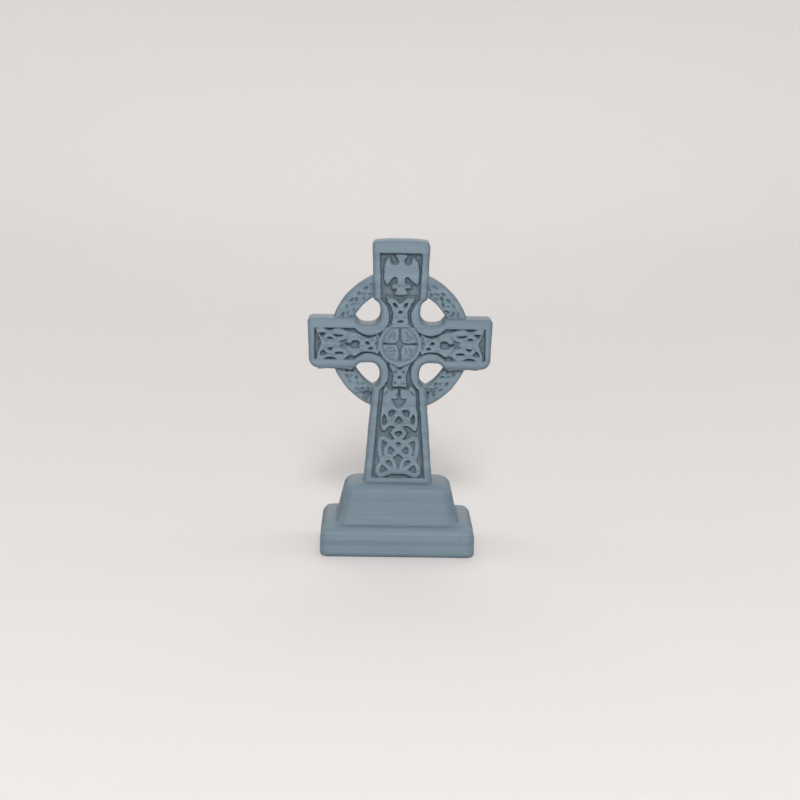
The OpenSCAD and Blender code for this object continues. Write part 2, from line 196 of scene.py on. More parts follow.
def cross_outline(x, z):
    """The cross seen from the front, on one plane."""
    x = np.abs(x)
    side = x - half_width(z)
    crown = sag(x, *HEAD_CROWN)
    head = np.maximum(rounded(side, z - TOTAL_H + crown, TIP_R), ARM_Z - z)
    shaft = np.maximum(side, np.maximum(z - ARM_Z, STEP_H - z))
    reach = ARM_REACH - ARM_RAKE * (ARM_TOP - z) / ARM_H
    tip = np.where(z > ARM_Z, TIP_R, LOW_TIP_R)
    arms = rounded(x - reach, np.abs(z - ARM_Z) - ARM_H / 2, tip)
    outline = np.minimum(np.minimum(head, shaft), arms)
    for side_of_arm in (1, -1):
        dx = np.abs(x - NECK_W / 2 - ARMPIT_OUT) / ARMPIT_R
        dz = np.abs(z - ARM_Z - side_of_arm * (ARM_H / 2 + ARMPIT_OUT)) / ARMPIT_R
        armpit = ARMPIT_R * ((dx ** ARMPIT_POWER + dz ** ARMPIT_POWER) ** (1 / ARMPIT_POWER) - 1)
        outline = np.maximum(outline, -armpit)
    return outline


def ring(block, z):
    """The ring, pitted on both faces."""
    radius = np.hypot(block.x, z - RING_Z)
    across = np.maximum(radius - RING_R, RING_INNER_R - radius)
    depth = ring_relief(block.xs, z[0, 0])[:, None, :]
    return rounded(across, np.abs(block.y) - RING_HALF_T + depth, RING_EDGE_R)


# ---- Carving: how deep the front lies below its face ----

def curve_through(points, closed=False, steps=5):
    """A smooth curve through the points, as a dense path."""
    points = np.asarray(points, float)
    count = len(points)
    spans = count if closed else count - 1
    path = []

    def pick(i):
        return points[i % count if closed else min(max(i, 0), count - 1)]

    for i in range(spans):
        a, b, c, d = pick(i - 1), pick(i), pick(i + 1), pick(i + 2)
        for k in range(steps):
            t = k / steps
            path.append(0.5 * (2 * b + (c - a) * t + (2 * a - 5 * b + 4 * c - d) * t ** 2
                               + (3 * b - a - 3 * c + d) * t ** 3))
    if not closed:
        path.append(points[-1])
    return np.array(path)


def mirror(points):
    return [(-p[0], *p[1:]) for p in points]


class Relief:
    """A map of depths over X and Z that shapes are sunk into or raised on."""

    def __init__(self, xs, zs):
        self.xs, self.zs = xs, zs
        self.depth = np.zeros((len(xs), len(zs)), np.float32)

    def window(self, path, margin):
        low, high = path.min(0) - margin, path.max(0) + margin
        i = slice(*np.searchsorted(self.xs, (low[0], high[0])))
        k = slice(*np.searchsorted(self.zs, (low[1], high[1])))
        return (i, k), self.xs[i][:, None], self.zs[k][None, :]

    def distance(self, path, closed, margin):
        """Distance to a path, negative inside a closed one."""
        area, x, z = self.window(path, margin)
        ends = np.roll(path, -1, 0) if closed else path[1:]
        starts = path if closed else path[:-1]
        best = np.full(np.broadcast(x, z).shape, 1e9)
        inside = np.zeros(best.shape, bool)
        for (ax, az), (bx, bz) in zip(starts, ends):
            dx, dz = bx - ax, bz - az
            length = dx * dx + dz * dz
            if length == 0:
                continue
            t = np.clip(((x - ax) * dx + (z - az) * dz) / length, 0, 1)
            best = np.minimum(best, (x - ax - t * dx) ** 2 + (z - az - t * dz) ** 2)
            if closed and dz:
                inside ^= ((az > z) != (bz > z)) & (x < dx * (z - az) / dz + ax)
        best = np.sqrt(best)
        return area, np.where(inside, -best, best)

    def level(self, area, distance, level, wall):
        """Brings the inside of a shape to one level, with a wall of the width given round it."""
        mask = soft_step(0.5 - distance / wall)
        self.depth[area] = lerp(self.depth[area], level, mask)

    def shape(self, points, level, wall=0.16, smooth=True):
        """Raises or sinks a closed outline; raised work gets a fine seam along its foot."""
        path = curve_through(points, closed=True) if smooth else np.asarray(points, float)
        area, distance = self.distance(path, True, 3 * wall)
        if level < GROUND / 2:
            seam = np.exp(-((distance - SEAM_OUT) / SEAM_OUT) ** 2) * (self.depth[area] > GROUND / 2)
            self.depth[area] += SEAM_DEPTH * seam
        self.level(area, distance, level, wall)

    def pair(self, points, level, wall=0.16, smooth=True):
        self.shape(points, level, wall, smooth)
        self.shape(mirror(points)[::-1], level, wall, smooth)

    def line(self, points, width, level, wall=0.14):
        """A groove or a ridge along a path."""
        area, distance = self.distance(curve_through(points), False, width + wall)
        self.level(area, distance - width / 2, level, wall)

    def oval(self, x, z, w, h, level, wall=0.16, turn=0):
        angles = np.linspace(0, 2 * math.pi, 12, endpoint=False)
        u, v = w / 2 * np.cos(angles), h / 2 * np.sin(angles)
        c, s = math.cos(math.radians(turn)), math.sin(math.radians(turn))
        self.shape(np.stack([x + u * c - v * s, z + u * s + v * c], 1), level, wall)


def sink_field(relief, depth):
    """The sunk ground of the four panels, with the frame left standing round it."""
    x, z = np.abs(relief.xs[:, None]), relief.zs[None, :]
    inside_frame = x - half_width(z) + FRAME_W
    head = np.maximum(inside_frame - 0.05, np.abs(z - (FIELD_TOP + ARM_Z) / 2) - (FIELD_TOP - ARM_Z) / 2)
    shaft = np.maximum(inside_frame, np.abs(z - (FIELD_LOW + ARM_Z) / 2) - (ARM_Z - FIELD_LOW) / 2)
    arms = np.maximum(x - ARM_FIELD_REACH, np.abs(z - BOSS_Z) - ARM_FIELD_HALF_H)
    field = np.minimum(np.minimum(head, shaft), arms)
    for cx, cz, radius in FIELD_ARMPITS:
        field = np.maximum(field, radius - np.hypot(x - cx, z - cz))
    field = np.maximum(field, BOSS_R - np.hypot(x, z - BOSS_Z))
    everywhere = (slice(None), slice(None))
    relief.level(everywhere, field, depth, 0.2)
    if depth == GROUND:
        relief.depth += SEAM_DEPTH * np.exp(-((field + SEAM_OUT) / SEAM_OUT) ** 2) * (field < 0)


def carve_eagle(relief):
    """A plain heraldic eagle with raised wings, at the top of the head."""
    left = [(-0.6, 57.3), (-1.15, 57.0), (-0.75, 56.5), (-0.6, 55.9), (-0.8, 55.45), (-1.3, 55.35),
            (-1.8, 55.5), (-1.95, 56.1), (-2.1, 56.6), (-2.5, 56.65), (-2.9, 56.2), (-3.2, 55.4),
            (-3.3, 54), (-3.3, 52.9), (-3.1, 52.1), (-2.7, 51.35), (-2.35, 51.7), (-1.9, 52.2),
            (-1.5, 52.75), (-1.1, 52.95), (-0.8, 52.7), (-0.75, 52.1), (-0.95, 51.65), (-1.8, 51.6),
            (-1.75, 50.95), (-1.35, 50.45), (-0.95, 50.75), (-0.85, 50.5), (-1.2, 49.9), (-0.9, 49.5)]
    right = [(1.0, 49.5), (1.35, 49.85), (1.0, 50.55), (0.95, 50.75), (1.5, 50.7), (1.95, 50.75),
             (2.0, 51.3), (1.8, 51.6), (1.0, 51.65), (0.82, 52.1), (0.9, 52.75), (1.3, 52.95),
             (1.75, 52.6), (2.3, 52.0), (2.8, 51.6), (3.15, 51.35), (3.4, 51.9), (3.5, 53), (3.5, 54.5),
             (3.35, 55.5), (2.9, 56.3), (2.4, 56.7), (2.0, 56.6), (1.95, 56), (1.8, 55.5), (1.3, 55.3),
             (0.85, 55.45), (0.65, 56), (0.9, 56.5), (1.35, 57.0), (0.7, 57.3)]
    relief.shape(left + right, TOP)
    for x, z in ((-0.35, 51.3), (0.5, 51.3)):
        relief.oval(x, z, 0.35, 0.35, 0.25)


def carve_head_neck(relief):
    """The knot between the eagle and the boss."""
    relief.shape([(-1.8, 43.9), (-1.45, 45.3), (-1.42, 46.1), (-1.9, 47.3), (-2.1, 47.75), (-2.55, 48.1),
                  (-2.75, 49.2), (-2.1, 48.98), (-1.4, 49.05), (-0.8, 48.6), (0, 47.9), (0.9, 48.8),
                  (1.5, 49.1), (2.1, 48.98), (2.8, 49.2), (2.6, 48.2), (2.1, 47.7), (1.55, 46.5),
                  (1.45, 45.5), (1.75, 43.9)], TOP, smooth=False)
    relief.pair([(-1.35, 47.95), (-1.0, 47.9), (-0.6, 47.25), (-0.9, 47.15), (-1.2, 47.45)], PIT)
    relief.oval(0.03, 46.25, 0.62, 0.5, PIT)
    relief.oval(0.05, 44.45, 1.1, 0.36, PIT)
    for x in (-0.75, 0.75):
        relief.oval(x, 45.27, 0.5, 0.26, 0.3)
        relief.line([(x * 0.4, 46.9), (x * 1.2, 46.6)], 0.16, 0.18)
        relief.line([(x * 1.5, 45.9), (x * 2.1, 45.5)], 0.16, 0.15)


def carve_shaft_neck(relief):
    """The short knot just below the boss."""
    relief.shape([(-2.1, 36.2), (-1.65, 35.2), (-1.25, 34.1), (-1.4, 33), (-1.5, 31.7), (-0.8, 31.75),
                  (0, 31.9), (0.9, 31.75), (1.5, 31.65), (1.4, 32.8), (1.3, 34), (1.65, 35),
                  (2.1, 36.2)], TOP, smooth=False)
    relief.shape([(-0.6, 35.5), (0, 35.2), (0.5, 35.4), (0.65, 35.6), (0, 35.5)], PIT)
    for x in (-0.8, 0.75):
        relief.oval(x, 34.7, 0.5, 0.32, 0.55)
    relief.shape([(-0.36, 33.78), (0.34, 33.78), (0, 33.4)], PIT)
    relief.oval(-0.8, 32.6, 0.5, 0.3, 0.6)
    relief.oval(0.75, 32.5, 0.6, 0.24, 0.5)


def carve_shaft_knot(relief):
    """The broad upper knot, with its two ears and the small ring hanging under it."""
    relief.shape([(-0.15, 31.4), (-0.8, 31.35), (-1.6, 31.1), (-2.0, 31.5), (-2.3, 31.95), (-2.9, 31.65),
                  (-3.15, 30.6), (-3.2, 29.5), (-3.4, 27.5), (-3.6, 25.8), (-3.5, 24.2), (-2.95, 23.15),
                  (-2.4, 23.4), (-1.9, 24.0), (-1.35, 24.15), (-0.85, 23.95), (-1.3, 23.4),
                  (-1.65, 22.85), (-1.3, 22.2), (-0.85, 21.7), (-0.7, 21.3), (0.7, 21.3), (0.9, 21.7),
                  (1.3, 22.2), (1.7, 22.85), (1.3, 23.4), (0.85, 23.95), (1.25, 24.2), (1.8, 24.1),
                  (2.6, 23.5), (3.3, 23.1), (3.6, 23.7), (3.75, 25.0), (3.7, 26.5), (3.45, 28.3),
                  (3.35, 30), (3.2, 31), (2.8, 31.6), (2.0, 31.95), (1.8, 31.4), (1.5, 31.2),
                  (0.9, 31.35), (0.25, 31.4)], TOP)
    relief.line([(0.0, 31.7), (0.02, 30.8), (0.05, 29.6)], 0.28, PIT)
    relief.oval(-0.25, 30.25, 0.4, 0.5, 0.6)
    relief.shape([(-1.4, 29.45), (-0.9, 29.4), (-0.3, 29.5), (0, 29.85), (0.4, 29.55), (0.8, 29.35),
                  (1.35, 29.5), (1.1, 28.8), (0.6, 28.2), (0, 27.7), (-0.6, 28.2),
                  (-1.0, 28.8)], 0.7, 0.35)
    for x in (-1, 1):
        relief.line([(x * 0.4, 29.75), (x * 0.8, 29.62), (x * 1.3, 29.75)], 0.2, -0.03)
        relief.line([(x * 2.2, 30.9), (x * 2.6, 30.5), (x * 3.05, 30.1)], 0.2, 0.4)
        relief.line([(x * 0.6, 31.2), (x * 1.1, 30.9), (x * 1.6, 30.4)], 0.16, 0.14)
    relief.shape([(-1.9, 26.9), (-1.6, 27.1), (-0.65, 27.15), (-0.8, 26.8), (-1.2, 26.4), (-1.35, 26.1),
                  (-1.75, 26.1), (-1.9, 26.4)], PIT)
    relief.shape([(0.65, 27.1), (1.3, 27.15), (1.9, 27.1), (1.95, 26.6), (1.8, 26.1), (1.4, 26.1),
                  (1.0, 26.5)], PIT)
    relief.shape([(0.08, 26.05), (0.45, 25.6), (0.8, 25.1), (0.3, 24.85), (0, 24.6), (-0.35, 24.85),
                  (-0.82, 25.1), (-0.35, 25.6)], PIT, smooth=False)
    relief.shape([(-2.75, 26.4), (-2.5, 25.6), (-2.35, 25.0), (-2.55, 24.6), (-3.0, 24.5),
                  (-3.05, 25.5)], PIT)
    relief.shape([(2.85, 26.4), (2.97, 25.6), (2.9, 24.8), (2.72, 24.5), (2.38, 24.9), (2.35, 25.3),
                  (2.6, 25.9)], PIT)
    relief.shape([(-0.65, 22.75), (-0.3, 23.1), (0.3, 23.2), (0.6, 22.9), (0.3, 22.4),
                  (-0.2, 22.3)], PIT)
    for x in (-1, 1):
        relief.line([(x * 2.1, 27.4), (x * 1.2, 27.35), (x * 0.4, 27.0), (x * 0.1, 26.5)], 0.17, 0.22)
        relief.line([(x * 0.9, 26.2), (x * 1.5, 25.3), (x * 2.1, 24.8)], 0.17, 0.25)
        relief.line([(x * 0.3, 24.2), (x * 1.0, 24.7), (x * 1.7, 24.6)], 0.17, 0.22)
        relief.line([(x * 0.9, 23.9), (x * 0.3, 23.75)], 0.17, 0.25)


# Strands of the knot at the foot of the shaft, left half: each point is (x, z, how far under)
FOOT_STRANDS = [
    [(-3.35, 22.0, 0), (-3.6, 21.0, 0), (-3.6, 19.8, 0), (-3.45, 18.6, 0), (-3.15, 17.5, 0),
     (-2.75, 16.9, 0.5), (-2.2, 16.35, 1), (-1.6, 15.9, 0), (-0.9, 15.35, 0), (0, 15.2, 0)],
    [(-3.35, 22.0, 0), (-2.6, 21.65, 0), (-1.9, 21.25, 0), (-1.2, 21.05, 0.2), (-0.5, 21.3, 0),
     (0, 21.65, 0.2)],
    [(0.5, 19.85, 1), (0, 19.35, 0.8), (-0.55, 18.85, 0), (-1.2, 18.35, 0), (-1.75, 18.25, 0),
     (-2.3, 18.75, 0), (-2.4, 19.6, 0), (-2.2, 20.2, 0)],
    [(-2.2, 20.2, 0), (-1.7, 20.5, 0), (-1.1, 20.4, 0), (-0.5, 19.85, 0), (0, 19.4, 0),
     (0.5, 18.9, 0.2)],
    [(-1.6, 21.1, 0.4), (-0.9, 20.6, 0.9), (-0.3, 19.9, 1)],
    [(-0.55, 15.4, 0.6), (-0.65, 16.4, 0), (-0.95, 17.3, 0), (-1.6, 17.85, 0), (-2.3, 17.8, 0),
     (-3.0, 17.2, 0), (-3.7, 16.4, 0), (-3.95, 15.4, 0), (-3.75, 14.65, 0), (-3.0, 14.6, 0),
     (-2.1, 14.95, 0), (-1.2, 15.3, 0), (0, 15.3, 0)],
    [(-2.3, 18.3, 1), (-2.8, 17.8, 1), (-3.0, 17.2, 1)],
]
STRAND_R = 0.5


def carve_arm(relief, side):
    """The interlace of one arm, drawn for the left one: side is -1 for left and 1 for right."""
    def at(points):
        return points if side < 0 else mirror(points)

    relief.shape(at([
        (-4.0, 41.75), (-4.8, 41.6), (-5.5, 41.3), (-6.2, 41.2), (-6.9, 41.4), (-7.6, 41.9),
        (-8.4, 42.25), (-9.2, 42.35), (-9.8, 42.5), (-10.5, 42.7), (-11.3, 42.95), (-12.5, 42.95),
        (-13.0, 42.7), (-13.5, 42.55), (-14, 42.7), (-14.6, 43.0), (-15.5, 43.1), (-16.15, 42.9),
        (-16.0, 42.3), (-15.75, 41.6), (-15.2, 40.1), (-15.8, 38.4), (-15.95, 37.6), (-15.9, 37.0),
        (-15.2, 36.95), (-14.5, 37.05), (-14.0, 37.3), (-13.3, 37.45), (-12.6, 37.3), (-12.0, 37.0),
        (-11, 36.95), (-10.4, 37.2), (-9.8, 37.65), (-9.3, 37.75), (-8.7, 37.6), (-8, 38.0),
        (-7.4, 38.4), (-6.5, 38.5), (-5.5, 38.45), (-4.8, 38.35), (-4.0, 38.3)]), TOP)
    relief.shape(at([(-15.4, 42.05), (-14.25, 42.0), (-14.6, 41.7), (-14.9, 41.3), (-15.1, 41.6)]), PIT)
    relief.oval(side * 13.45, 41.08, 1.0, 0.34, PIT)
    relief.shape(at([(-12.8, 41.8), (-12.2, 41.4), (-11.4, 41.45), (-10.85, 41.65), (-11.6, 41.7),
                     (-12.3, 41.75)]), PIT)
    relief.shape(at([(-15.1, 37.85), (-15.05, 38.4), (-14.7, 38.78), (-14.4, 38.5),
                     (-14.0, 38.05)]), PIT)
    relief.shape(at([(-13.8, 39.15), (-13.2, 39.2), (-12.7, 39.35), (-13.0, 39.05), (-13.3, 38.75),
                     (-13.6, 38.95)]), PIT)
    relief.oval(side * 11.6, 38.22, 1.65, 0.38, PIT)
    relief.shape(at([(-7.85, 40.4), (-8.3, 40.7), (-9.1, 40.5), (-9.4, 40.05), (-10.3, 40.15),
                     (-10.4, 39.85), (-9.6, 39.55), (-9.1, 39.3), (-8.4, 39.25), (-7.9, 39.4)]), PIT)
    relief.shape(at([(-10.35, 40.85), (-11.0, 40.6), (-11.65, 40.45), (-11.1, 40.2), (-10.5, 40.05),
                     (-10.3, 40.4)]), 0.75)
    relief.shape(at([(-10.4, 40.0), (-11.0, 39.9), (-11.65, 39.42), (-11.0, 39.35), (-10.5, 39.15),
                     (-10.4, 39.5)]), 0.7)
    # creases where one strand passes over the next
    for crease in (
            [(-10.3, 40.9), (-10.05, 41.2), (-9.9, 41.6)], [(-10.5, 39.2), (-10.1, 38.8), (-9.8, 38.4)],
            [(-9.9, 42.4), (-9.5, 42.1), (-9.1, 42.3)], [(-9.9, 37.75), (-9.6, 38.1), (-9.2, 37.9)],
            [(-12.9, 42.4), (-13.5, 42.1), (-14.1, 42.3)], [(-12.6, 37.8), (-13.4, 38.1), (-14.1, 37.75)],
            [(-12.9, 40.6), (-12.2, 41.0)], [(-13.9, 40.5), (-14.5, 41.0)],
            [(-12.6, 39.7), (-12.1, 39.2)], [(-14.0, 39.6), (-14.6, 39.0)],
            [(-7.0, 40.9), (-7.6, 41.2)], [(-7.0, 39.0), (-7.6, 38.8)]):
        relief.line(at(crease), 0.18, 0.28)
    relief.oval(side * 6.2, 40.2, 0.7, 0.48, PIT, turn=25 * side)
    relief.oval(side * 5.55, 39.2, 0.8, 0.34, PIT)
    relief.oval(side * 5.35, 40.7, 0.55, 0.22, 0.35)
    relief.oval(side * 7.1, 39.5, 0.5, 0.3, 0.2)
    relief.line(at([(-4.35, 41.4), (-4.3, 40.5), (-4.35, 39.1)]), 0.22, 0.45)
    relief.oval(side * 4.5, 40.12, 0.5, 0.42, 0.6)


def carve_boss(relief):
    """Four quarters inside a plain rim, round a hollow-sided star."""
    inner = BOSS_R - BOSS_RIM_W
    circle = [(inner * math.cos(a), BOSS_Z + inner * math.sin(a))
              for a in np.linspace(0, 2 * math.pi, 25)]
    relief.line(circle, 0.22, 0.3)
    relief.line([(-3.2, 40.1), (0, 40.1), (3.2, 40.1)], 0.22, 0.85)
    relief.line([(0, 43.1), (0, 36.9)], 0.24, 0.75)
    relief.shape([(-0.95, 40.1), (-0.5, 40.4), (-0.22, 41.0), (-0.12, 42.2), (0.12, 42.2), (0.22, 41.0),
                  (0.5, 40.4), (0.95, 40.1), (0.5, 39.75), (0.25, 39.2), (0.12, 38.7), (-0.12, 38.7),
                  (-0.25, 39.2), (-0.5, 39.75)], 0.6, smooth=False)
    relief.shape([(-0.12, 38.2), (0.12, 38.2), (0.32, 36.95), (-0.3, 36.95)], 0.65, smooth=False)
    for x in (-3.0, 3.0):
        relief.oval(x * 0.95, 40.12, 0.8, 0.36, 1.2)
    relief.line([(-1.4, 43.18), (0, 43.12), (1.4, 43.18)], 0.22, 0.7)
    relief.line([(-5.6, 43.25), (-2, 43.2), (2, 43.2), (5.6, 43.25)], 0.14, 0.14)
    relief.line([(-6.2, 43.8), (-2, 43.75), (2, 43.75), (5.4, 43.8)], 0.14, 0.1)
    relief.line([(-2.5, 36.5), (-1.2, 35.95), (-0.1, 35.5), (1.1, 35.9), (2.4, 36.4)], 0.2, 0.5)
    for curl in (
            [(-2.3, 40.9), (-1.9, 41.6), (-1.2, 42.5)], [(-1.3, 41.0), (-1.1, 41.7), (-1.0, 42.2)],
            [(2.3, 41.0), (1.6, 41.6), (1.1, 42.5)], [(1.2, 40.8), (1.9, 40.95), (2.6, 41.7)],
            [(-1.1, 38.2), (-1.7, 37.9), (-2.4, 38.3), (-2.5, 39.0), (-1.9, 39.4), (-1.1, 39.1),
             (-0.9, 38.6)],
            [(-1.4, 38.6), (-1.9, 38.6)], [(1.2, 39.2), (1.25, 38.3)],
            [(1.9, 39.2), (2.2, 38.6), (1.9, 37.8)], [(2.7, 39.0), (2.5, 38.0)]):
        relief.line(curl, 0.2, 0.32)


def ring_relief(xs, zs):
    """Small pits left between the strands of a worn plait, in rows round the ring."""
    relief = Relief(xs, zs)
    rng = np.random.default_rng(RING_SEED)
    count = round(2 * math.pi * RING_PIT_ROWS[0] / RING_PIT_PITCH)
    for row, radius in enumerate(RING_PIT_ROWS):
        for i in range(count):
            angle = 2 * math.pi * (i + row / 2 + rng.uniform(-0.2, 0.2)) / count
            r = radius + rng.uniform(-0.12, 0.12)
            slant = (35 if (i + row) % 2 else -30) * (row > 0)    # the outer row lies along the ring
            turn = math.degrees(angle) + 90 + slant + rng.uniform(-12, 12)
            relief.oval(r * math.cos(angle), RING_Z + r * math.sin(angle), rng.uniform(0.55, 1.0),
                        rng.uniform(0.22, 0.36), rng.uniform(0.35, 1.0), 0.2, turn)
    return shifted_layers(relief.depth, rng)


def shifted_layers(depth, rng):
    """Moves every layer of a relief a little to one side, as a printer with some play does."""
    layers = (np.arange(depth.shape[1]) / VOXELS_PER_LAYER).astype(int)
    shift = rng.normal(0, LAYER_PLAY, layers[-1] + 2) / VOXEL
    places = np.arange(depth.shape[0])
    for k, layer in enumerate(layers):
        depth[:, k] = np.interp(places + shift[layer], places, depth[:, k])
    return depth


def front_relief(xs, zs):
    """All the carving of the front."""
    relief = Relief(xs, zs)
    sink_field(relief, GROUND)
    carve_eagle(relief)
    carve_head_neck(relief)
    carve_shaft_neck(relief)
    carve_shaft_knot(relief)
    for side in (-1, 1):
        carve_arm(relief, side)
    carve_boss(relief)
    return shifted_layers(relief.depth, np.random.default_rng(FRONT_SEED))


def back_relief(xs, zs):
    """The unseen back: the same frame and panels, left plain."""
    relief = Relief(xs, zs)
    sink_field(relief, BACK_GROUND)
    return relief.depth


def cut_face(solid, block, depth, front):
    """Cuts the front or the back of the cross down to its carving."""
    face = (block.y if front else -block.y) + CROSS_HALF_T
    slope = np.hypot(*np.gradient(depth, VOXEL))
    steep = 1 / np.sqrt(1 + np.minimum(slope, 3) ** 2)
    return np.maximum(solid, (depth[:, None, :] - face) * steep[:, None, :].astype(np.float32))


# ---- Strands and threads: Geometry Nodes tubes along paths ----

def add_node(tree, kind, inputs=(), **settings):
    """Adds a node with its settings. Each input named or numbered takes a socket or a plain value."""
    node = tree.nodes.new(kind)
    for name, value in settings.items():
        setattr(node, name, value)
    for name, value in dict(inputs).items():
        if isinstance(value, bpy.types.NodeSocket):
            tree.links.new(value, node.inputs[name])
        else:
            node.inputs[name].default_value = value
    return node


def tube_tree():
    """A node tree that sweeps a round section along each path, at an even spacing."""
    tree = bpy.data.node_groups.new("tubes along paths", "GeometryNodeTree")
    sockets = tree.interface
    sockets.new_socket("Geometry", in_out="INPUT", socket_type="NodeSocketGeometry")
    for name, value in (("Radius", 0.3), ("Spacing", 0.15)):
        sockets.new_socket(name, in_out="INPUT", socket_type="NodeSocketFloat").default_value = value
    sockets.new_socket("Material", in_out="INPUT", socket_type="NodeSocketMaterial")
    sockets.new_socket("Geometry", in_out="OUTPUT", socket_type="NodeSocketGeometry")
    given = add_node(tree, "NodeGroupInput").outputs
    even = add_node(tree, "GeometryNodeResampleCurve", {
        "Curve": given["Geometry"], "Length": given["Spacing"]}, mode="LENGTH")
    section = add_node(tree, "GeometryNodeCurvePrimitiveCircle", {
        "Radius": given["Radius"], "Resolution": 10})
    swept = add_node(tree, "GeometryNodeCurveToMesh", {
        "Curve": even.outputs[0], "Profile Curve": section.outputs[0], "Fill Caps": True})
    real = add_node(tree, "GeometryNodeRealizeInstances", {"Geometry": swept.outputs[0]})
    dressed = add_node(tree, "GeometryNodeSetMaterial", {
        "Geometry": real.outputs[0], "Material": given["Material"]})
    add_node(tree, "NodeGroupOutput", {"Geometry": dressed.outputs[0]})
    return tree


def tubes(paths, radius, material):
    """A mesh of round tubes along the paths."""
    curve = bpy.data.curves.new("paths", "CURVE")
    curve.dimensions = "3D"
    for path in paths:
        spline = curve.splines.new("POLY")
        spline.points.add(len(path) - 1)
        spline.points.foreach_set("co", np.column_stack([path, np.ones(len(path))]).ravel())
    obj = bpy.data.objects.new("paths", curve)
    bpy.context.scene.collection.objects.link(obj)
    modifier = obj.modifiers.new("tubes", "NODES")
    modifier.node_group = TUBES
    sockets = {item.name: item.identifier
               for item in TUBES.interface.items_tree if item.in_out == "INPUT"}
    modifier[sockets["Radius"]] = radius
    modifier[sockets["Material"]] = material
    made = bpy.data.meshes.new_from_object(obj.evaluated_get(bpy.context.evaluated_depsgraph_get()))
    bpy.data.objects.remove(obj)
    return made


def mesh_distance(mesh, block):
    """Distances to a closed mesh, on the block's points."""
    points = np.empty(len(mesh.vertices) * 3, np.float32)
    mesh.vertices.foreach_get("co", points)
    mesh.calc_loop_triangles()
    triangles = np.empty(len(mesh.loop_triangles) * 3, np.int32)
    mesh.loop_triangles.foreach_get("vertices", triangles)
    grid = vdb.FloatGrid.createLevelSetFromPolygons(
        points.reshape(-1, 3) - np.array(block.low, np.float32),
        triangles=triangles.reshape(-1, 3).astype(np.uint32),
        transform=vdb.createLinearTransform(voxelSize=VOXEL), halfWidth=BAND)
    distances = np.empty(block.shape, np.float32)
    grid.copyToArray(distances)
    return distances


def foot_knot_paths():
    """The strands at the foot of the shaft, which dip where one passes under another."""
    paths = []
    for strand in FOOT_STRANDS:
        for points in (strand, mirror(strand)):
            path = curve_through(points, steps=6)
            depth = 0.36 + 0.16 * path[:, 2]
            paths.append(np.column_stack([path[:, 0], depth - CROSS_HALF_T, path[:, 1]]))
    return paths


def thread_paths(rng):
    """Loose threads of plastic that sag under the arms and cling where the ring meets the shaft."""
    paths = []
    near, far, count = 4.2, 15.4, 14    # reach from the middle, and points along a thread
    gap_from, gap_to = 7.6, 8.9         # none hang across the opening beside the shaft
    for side in (-1, 1):
        for y in np.arange(-3.1, 3.2, NOZZLE):
            start, end = near + rng.uniform(0, 0.3), far + rng.uniform(-0.5, 0.4)
            x = np.linspace(start, end, count)
            droop = 0.16 * rng.uniform(0.3, 1) * np.sin(np.linspace(0, 9, count) + rng.uniform(0, 6))
            z = ARM_LOW + 0.04 + droop
            z = np.where(x < 8.7, ARMPIT_THREAD_Z + droop * 0.5, z)
            path = curve_through(np.column_stack([side * x, np.full(count, y), z]), steps=3)
            paths.append(path[np.abs(path[:, 0]) > gap_to])
            paths.append(path[np.abs(path[:, 0]) < gap_from])
    return paths


def whisker_paths(rng):
    """Short hairs of plastic where the ring runs into the shaft."""
    paths = []
    for side, count in ((-1, 18), (1, 10)):
        for _ in range(count):
            x, z = side * rng.uniform(5.1, 6.6), rng.uniform(29.2, 31.6)
            start = np.array([x, -RING_HALF_T - rng.uniform(0, 1.0), z])
            turn = rng.normal(0, 0.5, 3) * (1, 0.5, 0.5)
            end = start + 2 * turn + rng.normal(0, 0.2, 3)
            paths.append(curve_through([start, start + turn, end], steps=4))
    return paths


# ---- The skin ----

def layer_wobble(z, rng):
    """How far each layer lies out or in, in mm."""
    layers = np.arange(int(TOTAL_H / LAYER) + 4)
    fine = rng.normal(0, FINE_WOBBLE, len(layers))
    marks = layers[::BROAD_LAYERS]
    broad = np.interp(layers, marks, rng.normal(0, BROAD_WOBBLE, len(marks)))
    return np.interp(z / LAYER, layers, fine + broad).astype(np.float32)


def softened(values):
    """Rounds off sharp edges by about a voxel, as melted plastic does."""
    for axis in range(3):
        values = np.moveaxis(values, axis, 0)
        blurred = values.copy()
        blurred[1:-1] = 0.25 * values[:-2] + 0.5 * values[1:-1] + 0.25 * values[2:]
        values = np.moveaxis(blurred, 0, axis)
    return values


